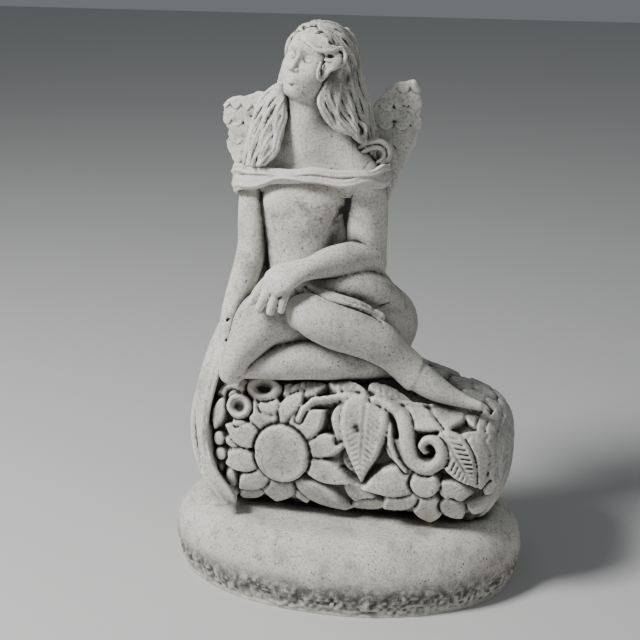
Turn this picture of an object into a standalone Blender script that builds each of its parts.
"""Garden statue: a winged girl seated on a flower-covered log, bedded on an oval base.

Cast stone, in metres, +Z up. The origin is the middle of the base's underside, the base and the
log run along X, and the statue's front is -Y. The girl's stations are in a frame of their own,
which is turned by FIGURE_TURN about the upright, and in the finished statue her chest faces -Y.
"""

import math

import bmesh
import bpy
import numpy as np
from mathutils import Matrix

# Driving dimensions of the base
BASE_LENGTH = 0.195
BASE_DEPTH = 0.140
BASE_HEIGHT = 0.040
BASE_FLAT_SHARE = 0.80  # the flat top's share of the outline, inside the rounded edge
BASE_FOOT_INSET = 0.003  # how far the underside is tucked in under the rounded edge
BASE_SQUARENESS = 2.07  # exponent of the oval outline, where 2 is an ellipse
BED_GAP = 0.0003  # joint between the base and the casting that is bedded on it

# Driving dimensions of the log
LOG_LENGTH = 0.174
LOG_SHIFT = 0.004  # how far the log lies off the base's middle, towards her feet
LOG_HALF_WIDTH = 0.046
LOG_HALF_HEIGHT = 0.046
LOG_AXIS_RISE = 0.037  # height of the log's middle line above the base
LOG_TOP_SECTION = 4.2  # exponents of the log's section above and below, where 2 is an ellipse
LOG_FOOT_SECTION = 2.5
LOG_END_POWER = 8.0  # how blunt the log's rounded ends are
LOG_RELIEF = 0.005  # how far petals and leaves stand out of the grooves
LOG_BACK_RELIEF = 0.45  # the share of it at the log's back, which is carved plainer

# Driving dimensions of the girl. Her stations are in millimetres on a figure that is
# FIGURE_UNITS tall from seat to crown, and they scale with FIGURE_HEIGHT.
FIGURE_HEIGHT = 0.181
FIGURE_UNITS = 181.0
FIGURE_TURN = math.radians(15.0)
SEAT_SINK = 0.0037  # how far the seat sinks below the log's highest line
HEAD_TURN = math.radians(37.0)
HEAD_LIFT = math.radians(9.0)
HEAD_LEAN = math.radians(12.0)

# Fineness of the faceted casting
VOXEL = 0.0012
SMOOTH_COUNT = 2
GIRL_TRIANGLES = 4500
LOG_TRIANGLES = 4700
LOG_RINGS = 200
LOG_SIDES = 240
BASE_SIDES = 32

SHARP_ANGLE = math.radians(50.0)
STONE = (0.62, 0.61, 0.57, 1.0)

UNIT = FIGURE_HEIGHT / FIGURE_UNITS
LOG_AXIS_Z = BASE_HEIGHT + BED_GAP + LOG_AXIS_RISE
SEAT_Z = LOG_AXIS_Z + LOG_HALF_HEIGHT - SEAT_SINK


def clear_scene():
    for obj in list(bpy.data.objects):
        bpy.data.objects.remove(obj)


def stone_material(name):
    material = bpy.data.materials.new(name)
    material.use_nodes = True
    shader = material.node_tree.nodes["Principled BSDF"]
    shader.inputs["Base Color"].default_value = STONE
    shader.inputs["Roughness"].default_value = 0.9
    shader.inputs["Metallic"].default_value = 0.0
    return material


def smooth_curve(stations, per_span):
    """Rows of a Catmull-Rom curve through the stations, whatever their number of columns."""
    p = np.asarray(stations, float)
    p = np.vstack([2 * p[0] - p[1], p, 2 * p[-1] - p[-2]])
    t = np.linspace(0, 1, per_span, endpoint=False)[:, None]
    spans = []
    for a, b, c, d in zip(p, p[1:], p[2:], p[3:]):
        bend = (2 * a - 5 * b + 4 * c - d) * t**2 + (3 * b - a - 3 * c + d) * t**3
        spans.append(b + 0.5 * ((c - a) * t + bend))
    return np.vstack([*spans, p[-2:-1]])


def unit_rows(rows):
    return rows / np.maximum(np.linalg.norm(rows, axis=1, keepdims=True), 1e-12)


class Clay:
    """A lump of closed shells, gathered before they are fused into one casting."""

    def __init__(self):
        self.points = []
        self.faces = []
        self.count = 0

    def skin(self, rings, first_pole, last_pole):
        """Adds one closed shell: rings of equal size, closed by a pole at each end."""
        rings = np.asarray(rings, float)
        number, sides = rings.shape[:2]
        start = self.count
        poles = np.array([first_pole, last_pole], float)
        self.points.append(np.vstack([rings.reshape(-1, 3), poles]))
        low, high = start + number * sides, start + number * sides + 1
        last = start + (number - 1) * sides
        for i in range(sides):
            j = (i + 1) % sides
            self.faces.append((low, start + j, start + i))
            self.faces.append((high, last + i, last + j))
            for ring in range(number - 1):
                here = start + ring * sides
                self.faces.append((here + i, here + j, here + sides + j, here + sides + i))
        self.count += number * sides + 2

    def limb(self, stations, flat=(0, -1, 0), sides=20, per_span=5, relief=None):
        """Adds a rounded tube through stations (x, y, z, half width[, half depth]).

        The half depth is measured along the direction flat, the half width across it.
        relief(across, along) gives extra thickness on both sides of a flat tube.
        """
        rows = [tuple(s) if len(s) == 5 else (*s, s[3]) for s in stations]
        curve = smooth_curve(rows, per_span)
        centre, size = curve[:, :3], np.maximum(curve[:, 3:], 0.05)
        tangent = unit_rows(np.gradient(centre, axis=0))
        deep = np.asarray(flat, float) - (tangent @ np.asarray(flat, float))[:, None] * tangent
        deep = unit_rows(deep)
        wide = np.cross(tangent, deep)
        turn = np.linspace(0, 2 * math.pi, sides, endpoint=False)
        # Round both ends off with rings that shrink along a quarter circle.
        lift = np.array([0.35, 0.7, 0.92])
        shrink = np.sqrt(1 - lift**2)
        end = size.min(axis=1)
        rings, run = [], np.r_[0, np.cumsum(np.linalg.norm(np.diff(centre, axis=0), axis=1))]
        order = [(0, -l, s) for l, s in zip(lift[::-1], shrink[::-1])]
        order += [(k, 0.0, 1.0) for k in range(len(curve))]
        order += [(len(curve) - 1, l, s) for l, s in zip(lift, shrink)]
        for k, shift, scale in order:
            across = scale * size[k, 0] * np.cos(turn)
            depth = scale * size[k, 1] * np.sin(turn)
            if relief is not None:
                extra = relief(across, run[k] + shift * end[k])
                depth = depth + np.sign(depth) * extra * np.abs(np.sin(turn)) ** 0.3
            middle = centre[k] + tangent[k] * shift * end[k]
            rings.append(middle + np.outer(across, wide[k]) + np.outer(depth, deep[k]))
        poles = centre[0] - tangent[0] * end[0], centre[-1] + tangent[-1] * end[-1]
        # Rings turn from wide to deep, seen along the tangent, so their faces point out.
        self.skin(rings, *poles)

    def ball(self, centre, radii, turn=None):
        """Adds an ellipsoid. turn is an optional 3 x 3 matrix about its centre."""
        turn = np.eye(3) if turn is None else np.asarray(turn)
        levels = np.linspace(-math.pi / 2, math.pi / 2, 12)[1:-1]
        around = np.linspace(0, 2 * math.pi, 20, endpoint=False)
        radii, centre = np.asarray(radii, float), np.asarray(centre, float)
        rings = []
        for level in levels:
            ring = np.c_[
                np.cos(level) * np.cos(around),
                np.cos(level) * np.sin(around),
                np.full(len(around), np.sin(level)),
            ]
            rings.append((ring * radii) @ turn.T + centre)
        top = turn @ (np.array([0, 0, 1.0]) * radii)
        self.skin(rings, centre - top, centre + top)

    def placed(self, matrix):
        """The gathered points after a 4 x 4 matrix."""
        points = np.vstack(self.points)
        m = np.array(matrix)
        return points @ m[:3, :3].T + m[:3, 3]


# Relief motifs. Each gives a height from 0 to 1 over a plane, and below zero outside itself.
OUTSIDE = -1.0


def petal_height(along, across, length, half_width, level, blunt=0.75, crown=0.25):
    """A petal that starts at the origin, runs along +along and ends in a point."""
    a = np.clip(along / length, 0, 1)
    outline = half_width * np.sin(math.pi * a**blunt) ** 0.8
    share = np.abs(across) / np.maximum(outline, 1e-9)
    inside = (along > 0) & (along < length) & (share < 1)
    top = level - crown * share**2.2 - 0.12 * a
    return np.where(inside, top, OUTSIDE)


def disc_height(x, y, radius, level):
    """A flower's round middle, domed, with a groove round it."""
    share = np.hypot(x, y) / radius
    dome = level - 0.15 * share**4
    groove = np.where(share < 1.1, 0.0, OUTSIDE)
    return np.where(share < 1, dome, groove)


def cup_height(x, y, radius, level):
    """A small round cup with a hole in its middle."""
    share = np.hypot(x, y) / radius
    rim = level - 0.25 * (share - 0.7) ** 2
    return np.where(share < 1, np.where(share < 0.42, 0.0, rim), OUTSIDE)


def rope_height(x, y, path, level):
    """A round stem along a path of points (x, y, half width)."""
    height = np.full(np.shape(x), OUTSIDE)
    for (ax, ay, a_width), (bx, by, b_width) in zip(path, path[1:]):
        dx, dy = bx - ax, by - ay
        t = np.clip(((x - ax) * dx + (y - ay) * dy) / (dx * dx + dy * dy), 0, 1)
        share = np.hypot(x - ax - t * dx, y - ay - t * dy) / (a_width + t * (b_width - a_width))
        height = np.maximum(height, np.where(share < 1, level - 0.55 * share**2.5, OUTSIDE))
    return height


def turned(x, y, angle):
    c, s = math.cos(angle), math.sin(angle)
    return x * c + y * s, y * c - x * s


def flower_height(x, y, radius, petals, reach, level, start=0.12):
    """A disc with two layers of pointed petals round it."""
    height = disc_height(x, y, radius, level)
    outside_disc = np.hypot(x, y) > 1.05 * radius
    width = math.pi * (radius + 0.4 * reach) / petals * 1.15
    for layer, drop in ((0.5, 0.38), (0.0, 0.06)):
        for k in range(petals):
            along, across = turned(x, y, start + 2 * math.pi * (k + layer) / petals)
            length = reach + 0.25 * radius
            petal = petal_height(along - 0.75 * radius, across, length, width, level - drop)
            height = np.where(outside_disc, np.maximum(height, petal), height)
    return height


# The log's carving. x runs along the log from its middle, and y up round it from the line that
# faces the front, both in millimetres on a log whose half height is LOG_UNITS.
LOG_UNITS = 46.0
# (x, y, radius of the middle, petals, length of a petal, level)
FLOWERS = (
    (53, -9, 7.2, 8, 17, 0.84),
    (-24.7, 1, 15.2, 14, 15.5, 1.0),
    (10, 132, 12.0, 13, 14, 0.95),
)
CUPS = ((-54, 26, 7.5, 0.86), (-40, 37, 8.0, 0.9))
# (x, y, direction in degrees, length, half width, level)
LEAVES = (
    (14, 36, -112, 42, 9.0, 0.62),
    (20, 39, -91, 52, 11.5, 0.96),
    (60, 10, -52, 38, 9.0, 0.70),
    (40, 40, -14, 36, 8.0, 0.78),
    (64, 46, -58, 30, 8.0, 0.84),
    (84, 40, -94, 56, 8.5, 0.90),
    (96, 44, -93, 66, 7.0, 0.80),
    (106, 44, -91, 70, 6.5, 0.94),
    (-4, 44, 174, 27, 7.0, 1.0),
    (20, 45, 170, 25, 7.0, 0.96),
    (24, 46, -6, 32, 6.0, 0.92),
    (-28, 46, 184, 22, 6.0, 0.9),
    (2, 12, -60, 30, 8.0, 0.55),
    (30, 6, -80, 26, 7.0, 0.45),
    (78, -18, 20, 26, 7.0, 0.80),
    (-62, 40, 60, 20, 7.0, 0.72),
    (-70, 16, 95, 22, 6.0, 0.68),
    (-66, -4, 80, 18, 5.5, 0.62),
    (-62, -24, 70, 18, 6.0, 0.62),
)
ARCH = ((-9, 29, 2.6), (-3, 36, 3.0), (8, 40, 3.2), (20, 39, 3.4))
SCROLL_CENTRE = (54.5, 9.0)
SCROLL_DEGREES = (175, 520)
SCROLL_RADII = (12.8, 4.4)
SCROLL_WIDTHS = (4.4, 3.0)


def scroll_path():
    """The stem that hangs from the top leaf and curls up into a spiral."""
    cx, cy = SCROLL_CENTRE
    stem = [(20, 39, 3.2), (28, 38, 3.6), (34, 31, 4.2), (38.5, 20, 4.4)]
    curl = []
    for t in np.linspace(0, 1, 24):
        degrees, radius, width = (
            a + t * (b - a) for a, b in (SCROLL_DEGREES, SCROLL_RADII, SCROLL_WIDTHS)
        )
        angle = math.radians(degrees)
        curl.append((cx + radius * math.cos(angle), cy + radius * math.sin(angle), width))
    return stem + curl


def scale_pattern(x, y, pitch_x, pitch_y, level):
    """Staggered pointed leaves that fill the ground between the larger motifs."""
    height = np.zeros(np.shape(x))
    row = np.floor(y / pitch_y)
    for step in (0, 1, 2):
        r = row + step
        shifted = x / pitch_x + 0.5 * (r % 2)
        local_x = (shifted - np.floor(shifted) - 0.5) * pitch_x
        along = (r + 1) * pitch_y - y
        leaf = petal_height(along, local_x, 2.3 * pitch_y, 0.54 * pitch_x, level - 0.10 * step)
        height = np.maximum(height, leaf)
    return height


# The lap of plain ground on the log's back that she sits on: (from y, to y, level)
SEAT_BAND = (47, 100, 0.82)


def log_relief(x, y):
    """Height of the carving, 0 in the grooves and 1 on the highest petals."""
    height = scale_pattern(x, y + 9.0, 19.0, 15.0, 0.42)
    low, high, level = SEAT_BAND
    height = np.where((y > low) & (y < high), level, height)
    for px, py, degrees, length, half_width, level in LEAVES:
        along, across = turned(x - px, y - py, math.radians(degrees))
        height = np.maximum(height, petal_height(along, across, length, half_width, level))
    for px, py, radius, level in CUPS:
        cup = cup_height(x - px, y - py, radius, level)
        height = np.where(cup > OUTSIDE, cup, height)
    for px, py, radius, petals, reach, level in FLOWERS:
        bloom = flower_height(x - px, y - py, radius, petals, reach, level)
        inner = np.hypot(x - px, y - py) < 1.1 * radius
        height = np.where(inner, bloom, np.maximum(height, bloom))
    height = np.maximum(height, rope_height(x, y, ARCH, 0.9))
    return np.maximum(height, rope_height(x, y, scroll_path(), 1.0))


# Height of the log's back along its length: (share of the half length, share of the height).
LOG_BACK = (
    (-1, 0.80),
    (-0.7, 0.96),
    (-0.2, 1.0),
    (0.15, 0.98),
    (0.45, 0.78),
    (0.7, 0.62),
    (1, 0.52),
)


def log_section(low):
    """One section of the log where its back is low: its points and the distance round to them."""
    turn = np.linspace(-math.pi, math.pi, LOG_SIDES, endpoint=False)
    c, s = np.cos(turn), np.sin(turn)
    power = np.where(s > 0, LOG_TOP_SECTION, LOG_FOOT_SECTION)
    reach = (np.abs(c) ** power + np.abs(s) ** power) ** (-1 / power)
    height = LOG_HALF_HEIGHT * np.where(s > 0, low, 1)
    section = np.c_[-reach * c * LOG_HALF_WIDTH, reach * s * height]
    step = np.linalg.norm(np.diff(section, axis=0), axis=1)
    walked = np.r_[0, np.cumsum(step)]
    return section, walked - np.interp(0, turn, walked)


def log_rings(relief):
    """Rings of points along the log, with the carving of the given depth."""
    # Rings crowd towards the ends, where the outline turns in.
    share = np.sin(np.linspace(-1, 1, LOG_RINGS + 2)[1:-1] * math.pi / 2)
    back = np.interp(share, *np.transpose(smooth_curve(LOG_BACK, 8)))
    mm = LOG_UNITS / LOG_HALF_HEIGHT
    rings, places = [], []
    for s, low in zip(share, back):
        body = (1 - abs(s) ** LOG_END_POWER) ** (1 / 2.2)
        x = LOG_SHIFT + s * LOG_LENGTH / 2
        section, walked = log_section(low)
        # Over the rounded ends the carving is read along the surface, not along the axis.
        along = np.full(LOG_SIDES, x + math.copysign(LOG_HALF_HEIGHT * 0.55 * (1 - body), s))
        carving = log_relief(along * mm, walked * mm) - 1
        behind = np.clip(section[:, 0] / LOG_HALF_WIDTH + 0.5, 0, 1)
        depth = relief * (1 - (1 - LOG_BACK_RELIEF) * behind)
        size = np.maximum(body + depth / LOG_HALF_HEIGHT * carving * min(1, body * 1.6), 1e-3)
        ring = section * size[:, None]
        rings.append(np.c_[np.full(LOG_SIDES, x), ring[:, 0], LOG_AXIS_Z + ring[:, 1]])
        places.append(np.c_[along * mm, walked * mm])
    return np.array(rings), np.array(places)


def add_log(clay):
    """The log: a blunt-ended body, lower at her feet, whose surface carries the carving."""
    rings, _ = log_rings(LOG_RELIEF)
    ends = [(LOG_SHIFT + side * LOG_LENGTH / 2, 0, LOG_AXIS_Z) for side in (-1, 1)]
    clay.skin(rings, *ends)


# The girl. Stations are (x, y, z above the seat, half width[, half depth]).
CHEST_WAY = (-math.sin(FIGURE_TURN), -math.cos(FIGURE_TURN), 0)
TORSO = (
    (-8, 0, -8, 32, 27),
    (-6, 0, 8, 39, 29),
    (-6, -1, 18, 38.5, 28),
    (-10, -2, 32, 35, 26),
    (-16, -4, 45, 27, 20),
    (-22.5, -5, 57, 20.5, 15.5),
    (-24, -5, 69, 19.8, 14.5),
    (-24, -6, 81, 21, 15.5),
    (-22.5, -6, 92, 24, 15.5),
    (-20, -5, 101, 31, 13),
    (-20, -5, 108, 26, 11.5),
    (-21.5, -6, 115, 16.5, 10.8),
    (-22.3, -7, 122, 11.4, 10.4),
    (-22.6, -8, 132, 10.4, 9.8),
    (-21.6, -8, 145, 10.4, 9.8),
)
BODICE = (((-33, -14, 88), (9.5, 5.5, 7.5)), ((-15, -16.5, 89), (9.5, 5.5, 7.5)))
RIGHT_ARM = (
    (-44, 3, 100, 9.5),
    (-48, 2, 88, 9.2),
    (-49.5, 0, 76, 8.6),
    (-50.5, -3, 62, 8.0),
    (-54, -9, 50, 7.4),
    (-58, -15, 39, 6.6),
    (-61, -21, 28, 6.0),
    (-61, -25, 18, 6.0),
)
LEFT_ARM = (
    (5, -8, 101, 11.6),
    (8, -9, 88, 12.0),
    (8.4, -9, 76, 11.8),
    (8.4, -10, 64, 11.4),
    (8.8, -13, 56, 11.0),
)
LEFT_FOREARM = (
    (8.5, -14, 58, 10.8),
    (-2, -25, 60.5, 9.4),
    (-10.5, -32, 61.5, 7.8),
    (-19, -38, 60.5, 5.9),
    (-26, -41, 59.5, 7.0, 4.8),
    (-33, -43, 57, 9.4, 4.6),
    (-38, -43.5, 54, 9.0, 4.2),
)
FINGERS = (
    ((-42, -42, 54.5, 2.6), (-46, -43, 50, 2.5), (-49.5, -42.5, 44, 2.1)),
    ((-39, -44, 53, 2.6), (-42.5, -45.5, 48, 2.5), (-45.5, -45, 41.5, 2.1)),
    ((-35.5, -45, 52, 2.6), (-38, -47, 46.5, 2.5), (-40, -46.5, 40, 2.1)),
    ((-31.5, -44.5, 53, 2.5), (-33, -47, 47.5, 2.4), (-34.5, -47, 41, 2.0)),
)
RIGHT_THIGH = (
    (-12, -6, 22, 22),
    (-28, -18, 30, 18),
    (-40, -26, 31, 15.5),
    (-46, -30, 28.5, 13.6),
    (-51, -32, 21.5, 10.8),
    (-56, -32.5, 14, 8.4),
    (-59.5, -31.5, 7, 7.2),
    (-61, -30, 2, 6.6),
)
RIGHT_SHIN = (
    (-54, -28, 4, 6),
    (-44, -28.5, 7, 8.8),
    (-34, -29, 9, 11),
    (-22, -29, 9.5, 11.2),
    (-8, -28, 8, 10.6),
    (6, -26, 6, 9.2),
    (18, -23, 4, 7.5),
    (28, -20, 2, 6),
)
LEFT_THIGH = (
    (16, -7, 22, 21),
    (2, -20, 31, 17.5),
    (-12, -32, 36, 13.5),
    (-23, -39, 37, 9.5),
)
LEFT_SHIN = (
    (-23.5, -40, 38.5, 8.6),
    (-16, -41, 36, 12.2),
    (-6, -40.5, 31, 12.7),
    (5, -39.5, 26.5, 12),
    (15, -38.5, 21, 10.8),
    (23, -37, 14, 9),
    (29, -36, 8, 7.8),
)
LEFT_FOOT = (
    (27, -36.5, 9, 7.8),
    (36, -37, 2, 8),
    (44, -38, -3.5, 6.8),
    (52, -39, -7.5, 5),
    (60, -40, -10.5, 3.4),
    (67, -41, -12.5, 2.4),
)
# Folds of the dress over the lap, and the train that falls over the log's end.
LAP_FOLDS = (
    (
        (-20, -35, 48, 3.4, 3),
        (-8, -40, 44.5, 3.8, 3.2),
        (4, -40, 40.5, 3.8, 3.2),
        (16, -36, 34, 2.6, 2.4),
    ),
    (
        (-22, -28, 50, 8, 6),
        (-8, -29, 50.5, 9, 7),
        (4, -27, 49, 9, 8),
        (16, -22, 43, 9, 7),
        (24, -17, 35, 5, 5),
    ),
    (
        (-20, 6, 12, 20, 14),
        (-44, 3, 10, 18, 12),
        (-60, -4, 0, 15, 9),
        (-70, -8, -12, 11, 7),
    ),
)
TRAIN = (
    (-58, -10, 30, 8, 5),
    (-66, -13, 14, 9, 5),
    (-73.5, -15, -4, 9, 5),
    (-77.5, -17, -22, 8, 5),
    (-78, -20, -40, 7, 5),
    (-73, -24, -58, 6, 4.5),
    (-64, -28, -70, 4.5, 4),
)
# The shoulder drape: its middle and half widths, seen from above.
DRAPE_CENTRE = (-19.5, -3.5)
DRAPE_REACH = (39.5, 20.5)
# Rolls of cloth: (height, half height) at the front, left, back and right.
DRAPE_ROLLS = (
    ((106.2, 2.3), (102.5, 3.4), (103.0, 3.2), (106.0, 3.0)),
    ((102.2, 2.3), (93.5, 4.8), (97.5, 4.0), (100.6, 3.4)),
)


def add_drape(clay):
    """Two rolls of cloth round the chest, the upper arms and the back."""
    cx, cy = DRAPE_CENTRE
    rx, ry = DRAPE_REACH
    way_x, way_y = CHEST_WAY[:2]
    for front, left, back, right in DRAPE_ROLLS:
        stations = []
        for angle in np.linspace(0, 2 * math.pi, 49):
            s, c = math.sin(angle), math.cos(angle)
            near, side = np.array(front if c > 0 else back), np.array(right if s > 0 else left)
            height, half_height = near * c * c + side * s * s
            square = (abs(s) ** 2.6 + abs(c) ** 2.6) ** (-1 / 2.6)
            across, ahead = rx * s * square, ry * c * square
            x, y = cx - across * way_y + ahead * way_x, cy + across * way_x + ahead * way_y
            stations.append((x, y, height, half_height, 2.6))
        curve = np.array(stations)
        middle = np.array([cx, cy, 0])
        outward = unit_rows((curve[:, :3] - middle) * np.array([1, 1, 0]))
        turn = np.linspace(0, 2 * math.pi, 16, endpoint=False)
        rings = []
        for row, out in zip(curve, outward):
            ring = row[:3] + np.outer(row[4] * np.cos(turn), out)
            rings.append(ring + np.outer(row[3] * np.sin(turn), [0, 0, 1]))
        add_ring_loop(clay, rings[:-1])


def add_ring_loop(clay, rings):
    """Adds a closed loop of rings, such as a roll of cloth that meets itself."""
    rings = np.asarray(rings, float)
    number, sides = rings.shape[:2]
    start = clay.count
    clay.points.append(rings.reshape(-1, 3))
    for k in range(number):
        here, there = start + k * sides, start + (k + 1) % number * sides
        for i in range(sides):
            j = (i + 1) % sides
            clay.faces.append((here + i, here + j, there + j, there + i))
    clay.count += number * sides


# Head, in its own frame: x to her right, y forward and z up from the middle of the skull.
HEAD_CENTRE = (-17.8, -9.0, 160.0)
HEAD_BALLS = (
    ((0, -3, 4), (14, 15.5, 14.2)),
    ((0, 3.2, -4.5), (12.6, 12.4, 14.8)),
    ((0, 8.2, -14), (7.2, 6.6, 5.8)),
    ((-6.4, 8.2, -6), (6.4, 6.2, 6.6)),
    ((6.4, 8.2, -6), (6.4, 6.2, 6.6)),
    ((-5.3, 12.2, 0.2), (3.0, 2.4, 2.0)),
    ((5.3, 12.2, 0.2), (3.0, 2.4, 2.0)),
)
NOSE = ((0, 14.2, 2.5, 1.5), (0, 16.4, -1.6, 1.7), (0, 18.0, -4.8, 2.3))
BROW = (
    (-7.9, 11.4, 3.2, 1.5),
    (-3.6, 13.8, 3.9, 1.5),
    (3.6, 13.8, 3.9, 1.5),
    (7.9, 11.4, 3.2, 1.5),
)
UPPER_LIP = ((-4.0, 14.0, -10.0, 0.9), (0, 15.8, -9.5, 1.3), (4.0, 14.0, -10.0, 0.9))
LOWER_LIP = ((-3.2, 13.8, -11.4, 0.9), (0, 15.4, -11.7, 1.5), (3.2, 13.8, -11.4, 0.9))
HAIR_CAP = ((0, -5.5, 3.5), (18.0, 17.0, 16.0))
FRINGE_REACH = (16.0, 15.0)
FRINGE_CENTRE = (5.0, 1.0)
FRINGE_WAVES = 9


def head_matrix():
    """Turns the head to the girl's right, lifts the chin and leans the crown to her left."""
    turn = Matrix.Rotation(math.pi - HEAD_TURN, 4, "Z")
    lift = Matrix.Rotation(HEAD_LIFT, 4, "X")
    lean = Matrix.Rotation(HEAD_LEAN, 4, "Y")
    return Matrix.Translation(HEAD_CENTRE) @ lean @ turn @ lift


def in_head(points):
    m = np.array(head_matrix())
    return np.asarray(points, float) @ m[:3, :3].T + m[:3, 3]


def add_head(clay):
    turn = np.array(head_matrix())[:3, :3]
    forward = turn @ np.array([0, 1.0, 0])
    for centre, radii in (*HEAD_BALLS, HAIR_CAP):
        clay.ball(in_head([centre])[0], radii, turn)
    for line in (NOSE, BROW, UPPER_LIP, LOWER_LIP):
        rows = [(*in_head([row[:3]])[0], *row[3:]) for row in line]
        clay.limb(rows, flat=forward, sides=12)


# Locks of hair: stations (x, y, z above the seat, half width, half depth).
LOCKS = (
    (
        (-6, -14, 168, 4, 4),
        (-7, -16, 153, 5, 4),
        (-7, -17, 138, 5, 4),
        (-2, -18, 124, 4.5, 3.5),
        (6, -19, 110, 2.5, 2.2),
    ),
    (
        (-4, -9, 170, 5, 5),
        (-4.5, -12, 155, 5, 5),
        (0, -14, 138, 5.5, 4.5),
        (5, -16, 122, 5, 4),
        (12, -17, 107, 3, 2.5),
    ),
    (
        (-6, -3, 171, 6, 5),
        (-3.5, -6, 156, 5.5, 5),
        (3, -7, 140, 5.5, 5),
        (8, -8, 124, 6, 4.5),
        (15, -10, 106, 4, 3),
    ),
    (
        (-33, -4, 150, 3, 3),
        (-37, -6, 140, 4, 3),
        (-42, -10, 125, 4.5, 3.5),
        (-47, -12, 110, 4, 3),
        (-51, -13, 99, 2.5, 2),
    ),
    (
        (-33, -7, 146, 2.5, 2),
        (-36, -10, 135, 3.4, 2.5),
        (-38, -15, 120, 3.6, 2.5),
        (-43, -17, 108, 3, 2.2),
        (-46, -18, 99, 2, 2),
    ),
    (
        (-32, 0, 154, 4, 4),
        (-38, 0, 139, 5, 4),
        (-45, -3, 122, 5.5, 4),
        (-51, -4, 108, 5, 3.5),
        (-55, -5, 97, 3, 2.5),
    ),
)
BACK_LOCKS = 7
BACK_HAIR_TOP = (-16.0, 4.0, 170.0)
BACK_HAIR_SPREAD = 44.0
BACK_HAIR_END = 62.0


def add_fringe(clay):
    """The wavy rim of hair round the brow, from ear to ear."""
    reach_x, reach_z = FRINGE_REACH
    centre_y, centre_z = FRINGE_CENTRE
    rows = []
    for angle in np.linspace(-105, 105, 41):
        a = math.radians(angle)
        wave = math.sin(FRINGE_WAVES * a)
        point = (reach_x * math.sin(a), centre_y + 3.2 * math.cos(a), centre_z + reach_z * math.cos(a))
        rows.append((*in_head([point])[0], 3.2 + 0.7 * wave))
    clay.limb(rows, per_span=2, sides=14)


def add_hair(clay):
    """Long locks over both shoulders, a fall down the back, and the rim round the brow."""
    for lock in LOCKS:
        clay.limb(lock, flat=(0.3, -1, 0.1), sides=14)
    top_x, top_y, top_z = BACK_HAIR_TOP
    for k in range(BACK_LOCKS):
        share = k / (BACK_LOCKS - 1) - 0.5
        end_x = top_x - 3 + share * BACK_HAIR_SPREAD
        shoulder_x = top_x - 3 + share * 40
        # The fall follows the turned shoulders.
        turn = -math.tan(FIGURE_TURN) * share
        clay.limb(
            (
                (top_x + share * 18, top_y - 3 * abs(share), top_z, 4, 4),
                (top_x - 2 + share * 32, top_y + 3 + 20 * turn, top_z - 26, 5, 4.5),
                (shoulder_x, top_y + 8 + 36 * turn, top_z - 56, 5, 4.5),
                (end_x, top_y + 8 + 40 * turn, top_z - 84, 4.2, 4),
                (end_x + 2 * math.sin(3 * k), top_y + 7 + 40 * turn, BACK_HAIR_END + 5 * (k % 2), 2, 2),
            ),
            flat=(0, 1, 0),
            sides=14,
        )
    add_fringe(clay)


# The blossom behind her left ear: petals round a centre in the head's frame.
BLOSSOM = (-12.0, 9.5, 4.5)
BLOSSOM_PETALS = 5
BLOSSOM_RADIUS = 7.0


def add_blossom(clay):
    turn = np.array(head_matrix())[:3, :3]
    outward = np.array([-0.62, 0.72, 0.3])
    outward /= np.linalg.norm(outward)
    side = np.cross(outward, [0, 0, 1.0])
    side /= np.linalg.norm(side)
    rise = np.cross(side, outward)
    centre = np.array(BLOSSOM)
    for k in range(BLOSSOM_PETALS):
        angle = math.radians(18) + 2 * math.pi * k / BLOSSOM_PETALS
        way = math.cos(angle) * side + math.sin(angle) * rise
        rows = []
        for reach, out, width in ((0.15, 0.0, 1.6), (0.6, 1.3, 3.2), (1.0, 1.8, 1.8)):
            point = centre + way * BLOSSOM_RADIUS * reach + outward * out
            rows.append((*in_head([point])[0], width, 1.3))
        clay.limb(rows, flat=turn @ outward, sides=12)
    clay.ball(in_head([centre + outward * 1.0])[0], (2.2, 2.2, 2.2))


# Wings: outline as (height, inner reach, outer reach) from the girl's spine.
WING_ROOT = (-21.0, -2.0)
RIGHT_WING_OUTLINE = (
    (84, 30, 36),
    (92, 24, 41),
    (104, 17, 45),
    (113, 13, 48.5),
    (122, 10, 52),
    (130, 11, 55.5),
    (136, 16, 57.5),
    (140.5, 26, 58),
    (144, 33, 56.5),
    (146.5, 39, 52),
)
LEFT_WING_OUTLINE = (
    (84, 27, 38),
    (92, 25.6, 42.6),
    (104, 25.5, 47.5),
    (113, 25.3, 51.3),
    (122, 26.3, 54.3),
    (130, 28.4, 56),
    (136, 32, 56.6),
    (141, 37.2, 56.4),
    (144, 42, 55.2),
    (146.5, 46.8, 52.8),
)
WING_STEM = ((106, 4, 24), (112, 18, 40), (118, 34, 50))
WING_THICKNESS = 2.6
WING_BACK = 6.0  # how far the wing starts behind the spine
WING_SWEEP = 0.30  # how far it leans back for each millimetre outwards
WING_TILT = 0.06  # and for each millimetre upwards
RIGHT_WING_DROP = 12.0  # how much lower the right wing is, on the side that she leans to
FEATHER_RELIEF = 1.5


def wing_relief(across, along):
    """Rows of feathers that overlap like tiles, below a smooth shoulder."""
    rows = scale_pattern(across, along, 11.0, 13.0, 0.95)
    shoulder = np.clip((along - 52) / 5, 0, 1)
    return FEATHER_RELIEF * (rows * (1 - shoulder) + 0.95 * shoulder)


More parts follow.
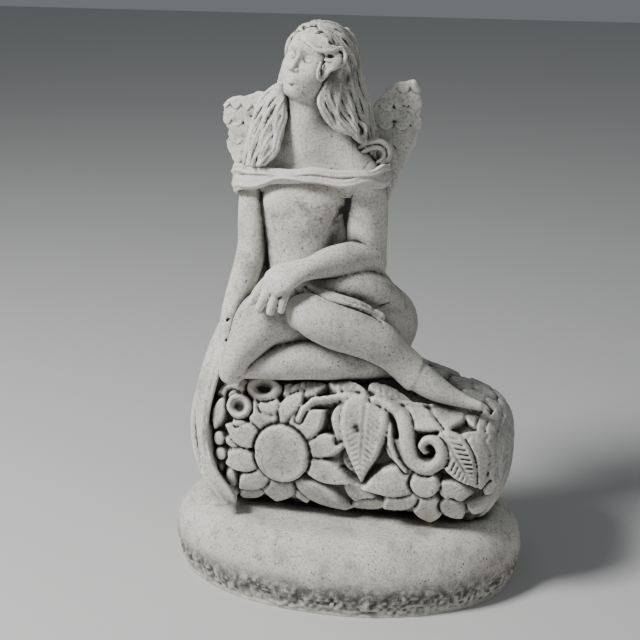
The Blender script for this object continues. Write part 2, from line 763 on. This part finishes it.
def add_wing(clay, side):
    """side is -1 for the girl's right wing and 1 for her left."""
    ahead = np.array(CHEST_WAY)
    outward = side * np.array([-ahead[1], ahead[0], 0])
    drop = RIGHT_WING_DROP if side < 0 else 0.0
    face = ahead + outward * WING_SWEEP
    for outline in (RIGHT_WING_OUTLINE if side < 0 else LEFT_WING_OUTLINE, WING_STEM):
        rows = []
        for z, inner, outer in outline:
            middle = (inner + outer) / 2
            back = WING_BACK + WING_SWEEP * middle + WING_TILT * (z - 110)
            point = np.array([*WING_ROOT, z - drop]) + outward * middle - ahead * back
            rows.append((*point, (outer - inner) / 2, WING_THICKNESS))
        clay.limb(rows, flat=face / np.linalg.norm(face), sides=64, per_span=8, relief=wing_relief)


def figure_matrix():
    """From the girl's own frame to the statue's."""
    lift = Matrix.Translation((0, 0, SEAT_Z))
    turn = Matrix.Rotation(FIGURE_TURN, 4, "Z")
    return lift @ turn @ Matrix.Diagonal((UNIT, UNIT, UNIT, 1))


def add_girl(clay):
    clay.limb(TORSO, flat=CHEST_WAY, sides=32)
    for centre, radii in BODICE:
        clay.ball(centre, radii)
    for stations in (RIGHT_ARM, LEFT_ARM, RIGHT_THIGH, RIGHT_SHIN, LEFT_THIGH, LEFT_SHIN, LEFT_FOOT):
        clay.limb(stations)
    clay.limb(LEFT_FOREARM, flat=(-0.35, -0.55, 0.75))
    for finger in FINGERS:
        clay.limb(finger, sides=12)
    for fold in LAP_FOLDS:
        clay.limb(fold, flat=(0, -0.6, 0.8), sides=16)
    clay.limb(TRAIN, flat=(-1, -0.35, 0.2), sides=16)
    add_drape(clay)
    add_head(clay)
    add_hair(clay)
    add_blossom(clay)
    for side in (-1, 1):
        add_wing(clay, side)


def mesh_object(name, points, faces):
    mesh = bpy.data.meshes.new(name)
    mesh.from_pydata([tuple(p) for p in points], [], faces)
    work = bmesh.new()
    work.from_mesh(mesh)
    bmesh.ops.recalc_face_normals(work, faces=work.faces)
    work.to_mesh(mesh)
    work.free()
    obj = bpy.data.objects.new(name, mesh)
    bpy.context.scene.collection.objects.link(obj)
    return obj


def add_modifier(obj, kind, name, **settings):
    modifier = obj.modifiers.new(name, kind)
    for key, value in settings.items():
        setattr(modifier, key, value)
    return modifier


def make_foot_cutter():
    """A slab that cuts the casting off flat where it is bedded on the base."""
    size = 2 * max(LOG_LENGTH, BASE_LENGTH)
    top = BASE_HEIGHT + BED_GAP
    depth = 2 * LOG_HALF_HEIGHT
    work = bmesh.new()
    bmesh.ops.create_cube(work, size=1.0)
    bmesh.ops.scale(work, vec=(size, size, depth), verts=work.verts)
    bmesh.ops.translate(work, vec=(0, 0, top - depth / 2), verts=work.verts)
    mesh = bpy.data.meshes.new("foot_cutter")
    work.to_mesh(mesh)
    work.free()
    cutter = bpy.data.objects.new("foot_cutter", mesh)
    bpy.context.scene.collection.objects.link(cutter)
    cutter.hide_render = True
    cutter.display_type = "WIRE"
    return cutter


def facet(obj, triangles):
    """Cuts the object's surface down to about this many triangles, few where it is flat."""
    graph = bpy.context.evaluated_depsgraph_get()
    mesh = obj.evaluated_get(graph).to_mesh()
    mesh.calc_loop_triangles()
    ratio = min(1.0, triangles / len(mesh.loop_triangles))
    add_modifier(obj, "DECIMATE", "facet", ratio=ratio)


def make_girl_form():
    """The girl and her wings, fused, as a helper that is joined to the log."""
    clay = Clay()
    add_girl(clay)
    form = mesh_object("girl_form", clay.placed(figure_matrix()), clay.faces)
    add_modifier(form, "REMESH", "fuse", mode="VOXEL", voxel_size=VOXEL)
    add_modifier(form, "SMOOTH", "soften", factor=0.5, iterations=SMOOTH_COUNT)
    facet(form, GIRL_TRIANGLES)
    form.hide_render = True
    form.display_type = "WIRE"
    return form


def make_casting():
    """The girl, her wings and the log, cast in one."""
    clay = Clay()
    add_log(clay)
    casting = mesh_object("girl_on_log", clay.placed(Matrix.Identity(4)), clay.faces)
    facet(casting, LOG_TRIANGLES)
    add_modifier(casting, "BOOLEAN", "join", object=make_girl_form(), operation="UNION")
    add_modifier(casting, "BOOLEAN", "foot", object=make_foot_cutter(), operation="DIFFERENCE")
    casting.data.materials.append(stone_material("cast_stone_figure"))
    return casting


def base_ring(share, z):
    """A ring of the oval outline, at a share of its full size."""
    ring = []
    for k in range(BASE_SIDES):
        angle = 2 * math.pi * k / BASE_SIDES
        c, s = math.cos(angle), math.sin(angle)
        reach = (abs(c) ** BASE_SQUARENESS + abs(s) ** BASE_SQUARENESS) ** (-1 / BASE_SQUARENESS)
        ring.append((share * BASE_LENGTH / 2 * reach * c, share * BASE_DEPTH / 2 * reach * s, z))
    return ring


def make_base():
    """The oval base: a pebble-like slab with a fully rounded edge and a flat top and underside."""
    foot_share = 1 - 2 * BASE_FOOT_INSET / BASE_DEPTH
    low = math.radians(-50)
    rings = [base_ring(0.5 * foot_share, 0.0)]
    for angle in np.linspace(low, math.pi / 2, 9):
        lift = (math.sin(angle) - math.sin(low)) / (1 - math.sin(low))
        swell = math.cos(angle)
        if angle < 0:
            tucked = (swell - math.cos(low)) / (1 - math.cos(low))
            share = foot_share + (1 - foot_share) * tucked
        else:
            share = BASE_FLAT_SHARE + (1 - BASE_FLAT_SHARE) * swell
        rings.append(base_ring(share, BASE_HEIGHT * lift))
    rings.append(base_ring(0.5 * BASE_FLAT_SHARE, BASE_HEIGHT))
    clay = Clay()
    clay.skin(rings, (0, 0, 0), (0, 0, BASE_HEIGHT))
    base = mesh_object("oval_base", clay.placed(Matrix.Identity(4)), clay.faces)
    base.data.materials.append(stone_material("cast_stone_base"))
    return base


def main():
    clear_scene()
    make_casting()
    make_base()
    for obj in bpy.data.objects:
        obj.data.shade_smooth()
        obj.data.set_sharp_from_angle(angle=SHARP_ANGLE)


main()
